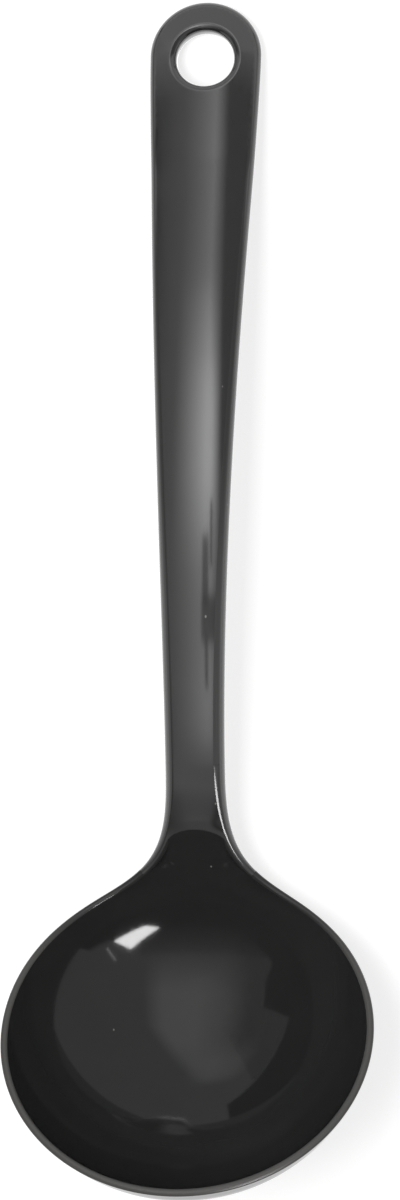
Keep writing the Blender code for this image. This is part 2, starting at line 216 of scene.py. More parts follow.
class Sheet:
    """The moulding's middle surface and thickness, worked out from the sizes.

    Y is measured from the bowl's lowest point. The bowl is a cap of a sphere through the lip, with
    its axis tilted towards the handle. A straight scoop leaves the sphere and bends into the neck,
    and the handle is one cubic arch that ends in a straight slope. In the bowl the sheet lies half
    the lip's thickness under the inside, and the wall grows thicker on the outside only.
    """

    def __init__(self, s):
        self.s = s
        self.half_lip = s.lip_wall / 2
        self.growth = s.bowl_wall - s.lip_wall
        self.lip_radius = s.bowl_diameter / 2 - self.half_lip
        cap = s.bowl_depth - s.bowl_wall
        self.sphere = (self.lip_radius**2 + cap**2) / (2 * cap)
        outer = self.sphere + self.half_lip + self.growth
        self.sphere_height = sqrt(outer**2 - (s.foot_diameter / 2)**2)
        drop = self.sphere - cap
        lean = atan2(self.lip_radius, drop) + s.bowl_tilt - pi / 2
        upright = min(max(lean, 0) * self.sphere / s.lip_taper, 1)
        back = self.sphere + self.half_lip + self.growth * upright**2 * (3 - 2 * upright)
        axis = np.array([0.0, sin(s.bowl_tilt), cos(s.bowl_tilt)])
        self.forward = np.array([0.0, *uphill(-s.bowl_tilt)])
        self.lip_centre = np.array([0.0, 0.0, self.sphere_height]) - drop * axis
        self.neck_y = self.lip_centre[1] + self.lip_radius * cos(s.bowl_tilt) + s.neck_length
        self.root_y = self.neck_y - s.root_length
        self.hole_y = self.neck_y + s.handle_length
        self.end_radius = s.end_width / 2
        self.round_y = self.hole_y + (s.hole_to_tip - self.end_radius) * cos(s.end_slope)
        tip_y = self.hole_y + (s.hole_to_tip - s.end_thickness / 2) * cos(s.end_slope)
        self.flat_y = self.hole_y - s.end_flat
        self.flat_height = s.end_thickness / 2 + (tip_y - self.flat_y) * tan(s.end_slope)
        self.scoop_y = self.sphere * sin(s.scoop_slope)
        self.scoop_height = self.sphere_height - self.sphere * cos(s.scoop_slope)
        corner_y = s.neck_height - self.scoop_height
        corner_y += self.scoop_y * tan(s.scoop_slope) - self.neck_y * tan(s.neck_slope)
        self.corner_y = corner_y / (tan(s.scoop_slope) - tan(s.neck_slope))
        self.middle_y = (tip_y + s.end_thickness / 2 - back) / 2

    def scoop_bend(self):
        """Side view of the bend from the scoop's slope to the neck's: a short curve inside the corner."""
        s = self.s
        height = s.neck_height + (self.corner_y - self.neck_y) * tan(s.neck_slope)
        corner = np.array([self.corner_y, height])
        start = corner - s.scoop_bend * uphill(s.scoop_slope)
        end = corner + s.scoop_bend * uphill(s.neck_slope)
        return start, (start + corner) / 2, (end + corner) / 2, end

    def arch_curve(self):
        """Side view of the handle's arch, from the neck to the flat stretch before the hole."""
        s = self.s
        start = np.array([self.neck_y, s.neck_height])
        end = np.array([self.flat_y, self.flat_height])
        leave = start + s.handle_rise * uphill(s.neck_slope)
        arrive = end - s.handle_fall * uphill(-s.end_slope)
        return start, leave, arrive, end

    def height(self, y):
        """Height of the middle line over the table at each y."""
        y = np.asarray(y, dtype=float)
        bowl = self.sphere_height - np.sqrt(self.sphere**2 - np.clip(y, 0, self.scoop_y)**2)
        bend = self.scoop_bend()
        scoop = self.scoop_height + (y - self.scoop_y) * tan(self.s.scoop_slope)
        neck = self.s.neck_height + (y - self.neck_y) * tan(self.s.neck_slope)
        flat = self.flat_height - (y - self.flat_y) * tan(self.s.end_slope)
        ends = (self.scoop_y, bend[0][0], bend[3][0], self.neck_y, self.flat_y)
        return np.select([y <= end for end in ends],
                         [bowl, scoop, curve_at(bend, y), neck, curve_at(self.arch_curve(), y)], flat)

    def half_width(self, y):
        """Half the handle's width: straight out of the neck, swelling into the round end."""
        s = self.s
        controls = ((self.neck_y, s.neck_width / 2), (self.neck_y + s.handle_straight, s.neck_width / 2),
                    (self.round_y - s.handle_swell, self.end_radius), (self.round_y, self.end_radius))
        return curve_at(controls, y)

    def half_thickness(self, y):
        """Half the edge's thickness: thin round the bowl, thickest at the neck, thinner at the end."""
        s = self.s
        root = ease(self.root_y, self.neck_y, y)
        tip = ease(self.neck_y, self.flat_y, y) * (s.neck_thickness - s.end_thickness) / 2
        return self.half_lip + root * (s.neck_thickness / 2 - self.half_lip) - tip

    def wall_growth(self, y, from_edge):
        """How much more the bowl's back lies off the sheet than the edge's half thickness."""
        return self.growth * ease(0, self.s.lip_taper, from_edge) * (1 - ease(self.root_y, self.neck_y, y))

    def curvature(self, y):
        """Curvature of the face across the ladle: none in the bowl, a full crown from the neck on."""
        crown = ease((self.scoop_y + self.neck_y) / 2, self.neck_y, y)
        return LEAST_CURVATURE + crown * (1 / self.s.crown_radius - LEAST_CURVATURE)

    def lip_circle(self, angles):
        """Middle of the lip round the bowl, by the angle from the handle's side."""
        round_lip = np.sin(angles)[:, None] * ACROSS + np.cos(angles)[:, None] * self.forward
        return self.lip_centre + self.lip_radius * round_lip

    def shoulder_curve(self):
        """The lip from its circle to the neck: it leaves along the circle and arrives along the neck."""
        s = self.s
        start = self.lip_circle(np.array([s.shoulder_angle]))[0]
        leaving = -cos(s.shoulder_angle) * ACROSS + sin(s.shoulder_angle) * self.forward
        end = np.array([(s.neck_width - s.neck_thickness) / 2, self.neck_y, s.neck_height])
        arriving = np.array([0.0, *uphill(s.neck_slope)])
        return start, start + s.shoulder_pull * leaving, end - s.neck_pull * arriving, end

    def bowl_rows(self):
        """Foot and lip of each row of the bowl: a fan behind the lowest point, then straight across."""
        side = acos(-self.lip_centre[1] / (self.lip_radius * cos(self.s.bowl_tilt)))
        back = self.lip_circle(np.linspace(pi, side, BACK_STATIONS, endpoint=False))
        front = self.lip_circle(np.linspace(side, self.s.shoulder_angle, SIDE_STATIONS, endpoint=False))
        shoulder = bezier(self.shoulder_curve(), np.linspace(0, 1, SHOULDER_STATIONS))
        edge = np.concatenate([back, front, shoulder])
        foot_y = np.maximum(edge[:, 1], 0)
        foot = np.stack([np.zeros(len(edge)), foot_y, self.height(foot_y)], axis=1)
        return foot, edge

    def handle_rows(self):
        """Foot and edge of each row of the handle: straight across, then a fan round its end."""
        y = np.linspace(self.neck_y, self.round_y, HANDLE_STATIONS, endpoint=False)
        foot = np.stack([np.zeros(len(y)), y, self.height(y)], axis=1)
        edge = foot.copy()
        edge[:, 0] = self.half_width(y) - self.half_thickness(y)
        turn = np.linspace(0, pi / 2, END_STATIONS + 1)[:, None]
        middle = np.array([0.0, self.round_y, float(self.height(self.round_y))])
        along = np.array([0.0, *uphill(-self.s.end_slope)])
        radius = self.end_radius - self.s.end_thickness / 2
        end_edge = middle + radius * (np.cos(turn) * ACROSS + np.sin(turn) * along)
        end_foot = np.repeat(middle[None, :], len(turn), axis=0)
        return np.concatenate([foot, end_foot]), np.concatenate([edge, end_edge])


def columns():
    """Steps from the middle line to the edge, closer together towards the edge."""
    return np.sin(np.linspace(0, pi / 2, FACE_COLUMNS + 1))[None, :]


def arc_rows(sheet, foot, edge):
    """Each row rises from level at its foot to its point on the lip.

    In the bowl it is a circular arc. In the scoop it turns into a power of the way across, which
    keeps the floor flat and lifts it close to the lip, and back into an arc towards the neck.
    """
    u = columns()
    turn = SCOOP_TURN * (sheet.corner_y - sheet.scoop_y)
    flat = ease(sheet.scoop_y, sheet.scoop_y + turn, foot[:, 1])
    flat = (flat * (1 - ease(sheet.corner_y - turn, sheet.corner_y, foot[:, 1])))[:, None]
    power = sheet.s.scoop_flatness
    reach = (edge - foot) * np.array([1.0, 1.0, 0.0])
    rise = (edge - foot)[:, 2]
    bend = 2 * np.arctan2(rise, np.linalg.norm(reach, axis=1))
    bend = np.where(np.abs(bend) < LEAST_BEND, LEAST_BEND, bend)[:, None]
    out = np.sin(u * bend) / np.sin(bend)
    up = (1 - flat) * (1 - np.cos(u * bend)) / (1 - np.cos(bend)) + flat * u**power
    rows = foot[:, None, :] + out[:, :, None] * reach[:, None, :]
    rows[:, :, 2] += up * rise[:, None]
    slope = (bend / np.sin(bend) * np.cos(u * bend))[:, :, None] * reach[:, None, :]
    climb = (1 - flat) * bend / (1 - np.cos(bend)) * np.sin(u * bend) + flat * power * u**(power - 1)
    slope[:, :, 2] += climb * rise[:, None]
    return rows, slope


def straight_rows(foot, edge):
    """Each row runs straight from its foot to the edge."""
    u = columns()[:, :, None]
    span = (edge - foot)[:, None, :]
    return foot[:, None, :] + u * span, np.repeat(span, FACE_COLUMNS + 1, axis=1)


def sheet_normals(rows, slope):
    """Upward normals of the sheet, level across x on the middle line, poles like their neighbours."""
    along = np.gradient(rows, axis=0, edge_order=2)
    normal = unit(np.cross(slope, along))
    shared = np.linalg.norm(along[:, 0], axis=1) < SAME_POINT
    normal[shared, 0] = normal[shared, 1]
    normal[np.abs(rows[:, :, 0]) < SAME_POINT, 0] = 0
    return unit(normal)


def thick_sheet(sheet, rows, slope, edge):
    """Rings round the sheet, from the middle of its face over the round edge to its back.

    The edge is part of a circle of half its thickness. The back lies that far off the sheet along
    its normal, and further where the wall grows. The face is an arc of the crown's radius,
    tangent to the round edge.
    """
    normal = sheet_normals(rows, slope)
    half = sheet.half_thickness(rows[:, :1, 1])
    curvature = sheet.curvature(rows[:, :1, 1])
    reach = np.linalg.norm(edge - rows[:, 0], axis=1)[:, None]
    lean = np.arcsin(curvature * reach / (1 - curvature * half))
    u = columns()
    shift = np.sin(u * lean) / curvature - u * reach
    lift = half * np.cos(lean) + (np.cos(u * lean) - np.cos(lean)) / curvature
    front = rows + shift[:, :, None] * unit(slope) + lift[:, :, None] * normal
    back = rows - (half + sheet.wall_growth(rows[:, :1, 1], (1 - u) * reach))[:, :, None] * normal
    tangent = np.gradient(edge, axis=0, edge_order=2)
    tangent[np.abs(edge[:, 0]) < SAME_POINT, 1:] = 0
    edge_normal = normal[:, -1]
    outward = unit(np.cross(tangent, edge_normal))
    outward *= np.sign(np.sum(outward * slope[:, -1], axis=1))[:, None]
    turn = lean + (pi - lean) * np.linspace(0, 1, EDGE_STEPS + 1)[None, 1:-1]
    rim = edge[:, None, :] + half[:, :, None] * (np.cos(turn)[:, :, None] * edge_normal[:, None, :]
                                                 + np.sin(turn)[:, :, None] * outward[:, None, :])
    return np.concatenate([front, rim, back[:, ::-1]], axis=1)


def ladle_rings(sheet):
    """Rings of the whole moulding, and the numbers of those where the scoop and the handle start."""
    foot, edge = sheet.bowl_rows()
    bowl_rows, bowl_slope = arc_rows(sheet, foot, edge)
    handle_foot, handle_edge = sheet.handle_rows()
    handle_rows, handle_slope = straight_rows(handle_foot, handle_edge)
    rows = np.concatenate([bowl_rows[:-1], handle_rows])
    slope = np.concatenate([bowl_slope[:-1], handle_slope])
    edges = np.concatenate([edge[:-1], handle_edge])
    scoop = int(np.argmin(np.abs(foot[:, 1] - sheet.scoop_y)))
    return thick_sheet(sheet, rows, slope, edges), (scoop, len(foot) - 1)


def grid_faces(index):
    """Quads of a grid of point numbers."""
    return np.stack([index[:-1, :-1], index[:-1, 1:], index[1:, 1:], index[1:, :-1]], axis=-1).reshape(-1, 4)


def ring_values(sheet, rings):
    """How satin each point is, and how much painted sheen its colour gets: fully on the bowl's lip, hardly
    from the shoulders on, not on the faces.
    """
    value = np.zeros(rings.shape[:2])
    lip = 1 - SATIN_LOSS * ease(0, sheet.root_y, rings[:, FACE_COLUMNS, 1])
    value[:, ROUND_EDGE] = lip[:, None]
    return value


class HalfShape:
    """Points and faces of the right half, gathered patch by patch, then mirrored and welded."""

    def __init__(self):
        self.points = []
        self.faces = []
        self.edge = []
        self.count = 0

    def add_grid(self, grid, edge_value):
        """A grid of points as quads, with how much each point belongs to the round edge."""
        index = self.count + np.arange(grid.shape[0] * grid.shape[1]).reshape(grid.shape[:2])
        self.points.append(grid.reshape(-1, 3))
        self.edge.append(np.broadcast_to(edge_value, grid.shape[:2]).reshape(-1))
        self.faces += grid_faces(index).tolist()
        self.count += index.size

    def add_cap(self, ring):
        """One flat face over a ring, given in the order that faces outwards."""
        self.faces.append(list(range(self.count, self.count + len(ring))))
        self.points.append(ring)
        self.edge.append(np.zeros(len(ring)))
        self.count += len(ring)

    def mesh(self, name, offset):
        """The mesh of both halves, moved along Y by offset."""
        points = np.concatenate(self.points)
        points[np.abs(points[:, 0]) < SAME_POINT, 0] = 0
        both = np.concatenate([points, points * OTHER_SIDE]) + np.array([0.0, offset, 0.0])
        other = [[self.count + i for i in reversed(face)] for face in self.faces]
        mesh = bpy.data.meshes.new(name)
        mesh.from_pydata(both.tolist(), [], self.faces + other)
        edge = mesh.attributes.new("round_edge", 'FLOAT', 'POINT')
        edge.data.foreach_set("value", np.tile(np.concatenate(self.edge), 2).astype(np.float32))
        shape = bmesh.new()
        shape.from_mesh(mesh)
        bmesh.ops.remove_doubles(shape, verts=shape.verts, dist=SAME_POINT * 2)
        shape.to_mesh(mesh)
        shape.free()
        return mesh


def bowl_mesh(sheet):
    """The bowl with its lip, closed where the scoop leaves it, and cut flat at its foot."""
    rings, (scoop, _) = ladle_rings(sheet)
    rings = rings[:scoop + 1]
    half = HalfShape()
    half.add_grid(rings, ring_values(sheet, rings))
    half.add_cap(rings[-1])
    mesh = half.mesh("bowl_skin", -sheet.middle_y)
    shape = bmesh.new()
    shape.from_mesh(mesh)
    geometry = shape.verts[:] + shape.edges[:] + shape.faces[:]
    cut = bmesh.ops.bisect_plane(shape, geom=geometry, dist=SAME_POINT, plane_co=(0, 0, 0),
                                 plane_no=(0, 0, -1), clear_outer=True)
    rim = [item for item in cut["geom_cut"] if isinstance(item, bmesh.types.BMVert)]
    rim.sort(key=lambda vert: atan2(vert.co.y + sheet.middle_y, vert.co.x), reverse=True)
    shape.faces.new(rim)
    shape.to_mesh(mesh)
    shape.free()
    return mesh


def neck_mesh(sheet):
    """The scoop between the shoulders and the neck above it, closed where they meet bowl and handle."""
    rings, (scoop, neck) = ladle_rings(sheet)
    rings = rings[scoop:neck + 1]
    half = HalfShape()
    half.add_grid(rings, ring_values(sheet, rings))
    half.add_cap(rings[0, ::-1])
    half.add_cap(rings[-1])
    return half.mesh("neck_skin", -sheet.middle_y)


def end_height(sheet, x, v):
    """Height of the end's face over the sheet, at x across and v along from the hole.

    It is an arc of the crown's radius that meets the round edge. Past the middle of the round end
    the arc is turned about that middle.
    """
    s = sheet.s
    half_thick = s.end_thickness / 2
    round_v = (sheet.round_y - sheet.hole_y) / cos(s.end_slope)
    reach = sheet.half_width(sheet.hole_y + np.minimum(v, round_v) * cos(s.end_slope)) - half_thick
    lean = np.arcsin(reach / (s.crown_radius - half_thick))
    away = np.hypot(x, np.maximum(v - round_v, 0))
    return half_thick * np.cos(lean) + np.sqrt(s.crown_radius**2 - away**2) - s.crown_radius * np.cos(lean)


def hole_patches(sheet, rings):
    """The face, the back and the bore at the hang hole, out to the first ring and the round edge.

    The face and the back are rows that run from the hole's mouth straight out. Each edge of the
    bore is an arc of the edge's radius, from the slope of the face or the back to the plain bore.
    """
    s = sheet.s
    half_thick = s.end_thickness / 2
    hole = np.array([0.0, sheet.hole_y, float(sheet.height(sheet.hole_y))])
    along = np.array([0.0, *uphill(-s.end_slope)])
    normal = np.array([0.0, sin(s.end_slope), cos(s.end_slope)])
    back_edge = FACE_COLUMNS + EDGE_STEPS
    face_outside = np.concatenate([rings[0, :FACE_COLUMNS + 1], rings[1:, FACE_COLUMNS]])
    back_outside = np.concatenate([rings[0, back_edge:][::-1], rings[1:, back_edge]])
    bearing = np.arctan2(face_outside[:, 0], (face_outside - hole) @ along)
    across, ahead = np.sin(bearing), np.cos(bearing)
    steps = np.linspace(0, 1, HOLE_ROWS + 1)[:, None] ** HOLE_ROW_POWER

    def place(x, v, h):
        """Points at x across, v along and h over the sheet."""
        return hole + x[..., None] * ACROSS + v[..., None] * along + h[..., None] * normal

    def spread(mouth, outside):
        """Rows from the mouth, at this distance from the hole's middle, to the points outside."""
        inner = (1 - steps) * mouth
        return inner * across + steps * outside[:, 0], inner * ahead + steps * ((outside - hole) @ along)

    def rounded(mouth, height, lean, side):
        """Radius and height of the bore's edge from its mouth inwards. Side is 1 above and -1 below."""
        arc = lean - (lean + pi / 2) * np.linspace(0, 1, HOLE_EDGE_STEPS + 1)[:, None]
        return (mouth + s.hole_edge * (np.sin(arc) - np.sin(lean)),
                height + side * s.hole_edge * (np.cos(arc) - np.cos(lean)))

    low_mouth = s.hole_diameter / 2 + s.hole_edge
    near, far = (end_height(sheet, r * across, r * ahead) for r in (low_mouth, low_mouth + SLOPE_STEP))
    lean = np.arctan((near - far) / SLOPE_STEP)
    mouth = s.hole_diameter / 2 + s.hole_edge * (1 + np.sin(lean))

    x, v = spread(mouth, face_outside)
    face = place(x, v, end_height(sheet, x, v))
    face[-1] = face_outside
    x, v = spread(low_mouth, back_outside)
    back = place(x, v, np.full_like(x, -half_thick))
    back[-1] = back_outside
    upper = rounded(mouth, end_height(sheet, mouth * across, mouth * ahead), lean, 1)
    lower = rounded(low_mouth, -half_thick, np.zeros_like(bearing), -1)
    radius, height = (np.concatenate([above, below[::-1]]) for above, below in zip(upper, lower))
    bore = place(radius * across, radius * ahead, height)
    bore[0], bore[-1] = face[0], back[0]
    return face[::-1], back, bore


def handle_mesh(sheet):
    """The arched handle, closed where it meets the bowl, with its hang hole.

    Up to a little before the hole it is the rings. Past that only its round edge is.
    """
    rings, (_, neck) = ladle_rings(sheet)
    rings = rings[neck:]
    values = ring_values(sheet, rings)
    patch_y = sheet.hole_y - HOLE_ROOM * sheet.s.hole_diameter
    first = int(np.searchsorted(rings[:HANDLE_STATIONS, 0, 1], patch_y))
    half = HalfShape()
    half.add_grid(rings[:first + 1], values[:first + 1])
    half.add_cap(rings[0, ::-1])
    half.add_grid(rings[first:, ROUND_EDGE], values[first:, ROUND_EDGE])
    for patch in hole_patches(sheet, rings[first:]):
        half.add_grid(patch, 0.0)
    return half.mesh("handle_skin", -sheet.middle_y)


def seam_normals(mesh, sheet):
    """Gives the rings at the seams the normals of the whole moulding, so that no seam shows.

    A normal there is square to the ring and to the line from the ring before to the ring after.
    The flat caps inside the moulding keep their own.
    """
    rings, seams = ladle_rings(sheet)
    rings = rings - np.array([0.0, sheet.middle_y, 0.0])
    points = np.zeros((len(mesh.vertices), 3))
    mesh.vertices.foreach_get("co", points.ravel())
    side = np.where(points[:, :1] < 0, OTHER_SIDE, 1.0)
    right = points * side
    at_vertex = np.zeros_like(points)
    for seam in seams:
        ring = rings[seam]
        spacing = np.concatenate([[0.0], np.cumsum(np.linalg.norm(np.diff(ring, axis=0), axis=1))])
        normal = np.cross(np.gradient(ring, spacing, axis=0), rings[seam + 1] - rings[seam - 1])
        normal[[0, -1], 0] = 0
        inside = (right > ring.min(axis=0) - SEAM_ROOM) & (right < ring.max(axis=0) + SEAM_ROOM)
        near = np.flatnonzero(inside.all(axis=1))
        gap = np.linalg.norm(right[near][:, None, :] - ring[None, :, :], axis=2)
        on_ring = gap.min(axis=1) < SEAM_GAP
        near, match = near[on_ring], gap[on_ring].argmin(axis=1)
        at_vertex[near] = unit(normal)[match] * side[near]
    loops = np.zeros(len(mesh.loops), dtype=np.int32)
    mesh.loops.foreach_get("vertex_index", loops)
    custom = at_vertex[loops]
    for cap in (polygon for polygon in mesh.polygons if len(polygon.vertices) > 4):
        custom[cap.loop_start:cap.loop_start + cap.loop_total] = cap.normal
    mesh.normals_split_custom_set(custom.tolist())


def add_piece(mesh, material, node):
    """An object for a finished mesh, riding on the body in place of its CAD node."""
    mesh.materials.append(material)
    mesh.shade_smooth()
    mesh.set_sharp_from_angle(angle=SHARP_ANGLE)
    piece = bpy.data.objects.new(mesh.name, mesh)
    bpy.context.scene.collection.objects.link(piece)
    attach(piece, "root")
    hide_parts(node)
    return piece


def linear(colour):
    """Linear colour for an sRGB hex value."""
    value = np.array([int(colour[i:i + 2], 16) for i in (0, 2, 4)]) / 255
    value = np.where(value <= 0.04045, value / 12.92, ((value + 0.055) / 1.055) ** 2.4)
    return (*value.tolist(), 1.0)


def add_node(tree, kind, values=None, **settings):
    """A shader node with its settings. Each value is a number, an output or a node with one output."""
    node = tree.nodes.new('ShaderNode' + kind)
    for name, setting in settings.items():
        setattr(node, name, setting)
    for socket, value in (values or {}).items():
        if isinstance(value, bpy.types.Node):
            value = value.outputs[0]
        if isinstance(value, bpy.types.NodeSocket):
            tree.links.new(value, node.inputs[socket])
        else:
            node.inputs[socket].default_value = value
    return node


def new_material(name):
    """A material and its node tree."""
    material = bpy.data.materials.new(name)
    material.use_nodes = True
    return material, material.node_tree


def black_nylon(finish):
    """Black nylon, injection-moulded in a polished mould.

    The polish gives sharp reflections, which a faint orange peel makes ripple a little. Wiping has
    left hairlines along the ladle that soften the gloss in streaks. The lip is satin with a fine
    grain, and its colour is greyed as a painted sheen. A few pale specks of scuff or lint stand out on the
    black.
    """
    name = "black_moulded_nylon"
    if name in bpy.data.materials:
        return bpy.data.materials[name]
    material, tree = new_material(name)
    shader = tree.nodes["Principled BSDF"]
    shader.inputs["IOR"].default_value = 1.5
    place = add_node(tree, 'TexCoord').outputs["Object"]
    lip = add_node(tree, 'Attribute', attribute_name="round_edge").outputs["Fac"]
    # Hairlines 0.35 mm apart and 16 mm long
    stretched = add_node(tree, 'VectorMath', {0: place, 1: (1.0, 1 / 45, 1.0)}, operation='MULTIPLY')
    hairline, cloud, peel, grain = (
        add_node(tree, 'TexNoise', {"Vector": where, "Scale": 1 / size, "Detail": 2.0})
        for where, size in ((stretched, 0.00035), (place, 0.006), (place, 0.0025), (place, 0.0003)))

    # Specks 0.4 mm long, one in a cell of 7 to 10 mm where the surface passes close to its middle
    cells = add_node(tree, 'VectorMath', {0: place, 1: (150.0, 100.0, 125.0)}, operation='MULTIPLY')
    speck = add_node(tree, 'TexVoronoi', {"Vector": cells, "Scale": 1.0})
    pale = fade(tree, [(speck, 0.028, 0.016)], 0.4)
    shade = add_node(tree, 'Math', {0: cloud, 1: 0.008, 2: pale}, operation='MULTIPLY_ADD')
    # Painted sheen: the lip's colour is greyed towards the pale colour, standing in for the light on its
    # satin
    shade = add_node(tree, 'Math', {0: lip, 1: finish.lip_painted_sheen, 2: shade}, operation='MULTIPLY_ADD')
    colour = add_node(tree, 'ValToRGB', {"Fac": shade})
    colour.color_ramp.elements[0].color = linear(finish.plastic_colour)
    colour.color_ramp.elements[1].color = linear(finish.speck_and_sheen_colour)
    tree.links.new(colour.outputs["Color"], shader.inputs["Base Color"])

    rough = add_node(tree, 'MapRange', {"Value": lip, "To Min": finish.gloss, "To Max": finish.lip_gloss})
    rough = add_node(tree, 'Math', {0: hairline, 1: 0.06, 2: rough}, operation='MULTIPLY_ADD')
    tree.links.new(rough.outputs[0], shader.inputs["Roughness"])

    # Heights in metres of the orange peel, the hairlines and the lip's grain, one over the other
    grain = add_node(tree, 'Math', {0: grain, 1: lip}, operation='MULTIPLY')
    below = {}
    for height, metres in ((peel, 0.0000015), (hairline, 0.0000001), (grain, 0.000002)):
        below = {"Normal": add_node(tree, 'Bump', {"Height": height, "Distance": metres, **below})}
    tree.links.new(below["Normal"].outputs[0], shader.inputs["Normal"])
    return material


def build_piece(scene, make_mesh, node):
    """Builds one piece of the moulding, dresses it and evens out the normals at its seams."""
    sheet = Sheet(scene.ladle_shape)
    piece = add_piece(make_mesh(sheet), black_nylon(scene.ladle_finish), node)
    seam_normals(piece.data, sheet)
    return {'FINISHED'}


class LADLE_OT_bowl(Operator):
    """Build the bowl with its lip"""
    bl_idname = "ladle.bowl"
    bl_label = "Bowl"

    def execute(self, context):
        return build_piece(context.scene, bowl_mesh, "bowl")


class LADLE_OT_neck(Operator):
    """Build the scoop between the shoulders and the neck above it"""
    bl_idname = "ladle.neck"
    bl_label = "Scoop and neck"

    def execute(self, context):
        return build_piece(context.scene, neck_mesh, "bowl")


class LADLE_OT_handle(Operator):
    """Build the arched handle with its hang hole"""
    bl_idname = "ladle.handle"
    bl_label = "Handle"

    def execute(self, context):
        return build_piece(context.scene, handle_mesh, "handle")


def table_material(stage):
    """White laminate table: matt with a fine pebble grain, shown lighter to the camera, as white."""
    material, tree = new_material("white_table")
    shader = tree.nodes["Principled BSDF"]
    shader.inputs["Base Color"].default_value = linear(stage.table_colour)
    shader.inputs["Roughness"].default_value = 0.9
    shader.inputs["Specular IOR Level"].default_value = 0.0
    shader.inputs["Emission Color"].default_value = (1.0, 1.0, 1.0, 1.0)
    # Pebbles 0.6 mm wide and 8 micrometres high
    place = add_node(tree, 'TexCoord').outputs["Object"]
    pebbles = add_node(tree, 'TexNoise', {"Vector": place, "Scale": 1 / 0.0006, "Detail": 2.0})
    bump = add_node(tree, 'Bump', {"Height": pebbles, "Distance": 0.000008})
    tree.links.new(bump.outputs[0], shader.inputs["Normal"])
    path = add_node(tree, 'LightPath').outputs["Is Camera Ray"]
    lift = add_node(tree, 'Math', {0: path, 1: stage.table_lift}, operation='MULTIPLY')
    tree.links.new(lift.outputs[0], shader.inputs["Emission Strength"])
    return material


def level_panel(x, y, height):
    """Corners of a level panel between two x and two y."""
    return [(x[0], y[0], height), (x[1], y[0], height), (x[1], y[1], height), (x[0], y[1], height)]


def upright_panel(start, end, low, high, end_high=None):
    """Corners of an upright panel over the line from start to end, whose top may slope."""
    return [(*start, low), (*end, low), (*end, end_high or high), (*start, high)]


def add_panel(name, corners, material):
    """A flat panel with four corners."""
    mesh = bpy.data.meshes.new(name)
    mesh.from_pydata([tuple(corner) for corner in corners], [], [[0, 1, 2, 3]])
    mesh.materials.append(material)
    panel = bpy.data.objects.new(name, mesh)
    bpy.context.scene.collection.objects.link(panel)
    return panel


def add_table(stage):
    """A wide flat table top."""
    half = (-TABLE_REACH, TABLE_REACH)
    table = add_panel("table", level_panel(half, half, 0.0), table_material(stage))


def add_reflection(name, corners, material, receivers=None):
    """A panel that shows only in gloss. Receivers are the pieces that see it, or all of them."""
    panel = add_panel(name, corners, material)
    for ray in ("camera", "diffuse", "transmission", "shadow"):
        setattr(panel, "visible_" + ray, False)
    if receivers:
        group = bpy.data.collections.new(name + "_receivers")
        for piece in receivers:
            group.objects.link(piece)
        panel.light_linking.receiver_collection = group


def turned(right, up, back, place):
    """Matrix of a lamp or camera with these directions at a place."""
    return Matrix([[right[i], up[i], back[i], place[i]] for i in range(3)] + [[0, 0, 0, 1]])


def add_key_light(stage):
    """A soft lamp at the left, turned to the ladle, that lights matt surfaces only."""
    light = bpy.data.lights.new("key", 'AREA')
    light.shape = 'RECTANGLE'
    light.size, light.size_y = 0.35, 0.45
    light.energy = stage.key_light * pi * light.size * light.size_y
    lamp = bpy.data.objects.new("key", light)
    bpy.context.scene.collection.objects.link(lamp)
    place = np.array([-0.22, 0.0, 1.1])
    back = unit(place - np.array([0.0, 0.0, 0.02]))
    right = unit(np.cross(np.array([0.0, 1.0, 0.0]), back))
    lamp.matrix_world = turned(right, np.cross(back, right), back, place)
    lamp.visible_camera = False
    lamp.visible_glossy = False


def axes(tree):
    """Outputs that give x, y and z in metres."""
    place = add_node(tree, 'TexCoord').outputs["Object"]
    return add_node(tree, 'SeparateXYZ', {"Vector": place}).outputs


def fade(tree, edges, full=1.0):
    """Product of straight ramps. Each edge is a value, where its ramp is 0 and where it is full."""
    for value, start, end in edges:
        full = add_node(tree, 'MapRange', {"Value": value, "From Min": start, "From Max": end,
                                           "To Max": full})
    return full


def soft_box(tree, x, y, low, high, soft, full):
    """Full inside a rectangle from its low to its high corner, falling to 0 over a soft rim."""
    return fade(tree, [(x, low[0] - soft, low[0]), (x, high[0] + soft, high[0]),
                       (y, low[1] - soft, low[1]), (y, high[1] + soft, high[1])], full)


def glow(name, level, *settings):
    """Light added to what lies behind: an even level, or one that a function makes of x, y and z."""
    material, tree = new_material(name)
    tree.nodes.clear()
    if callable(level):
        level = level(tree, *axes(tree), *settings)
    emission = add_node(tree, 'Emission', {"Strength": level})
    both = add_node(tree, 'AddShader', {0: emission, 1: add_node(tree, 'BsdfTransparent')})
    add_node(tree, 'OutputMaterial', {"Surface": both})
    return material


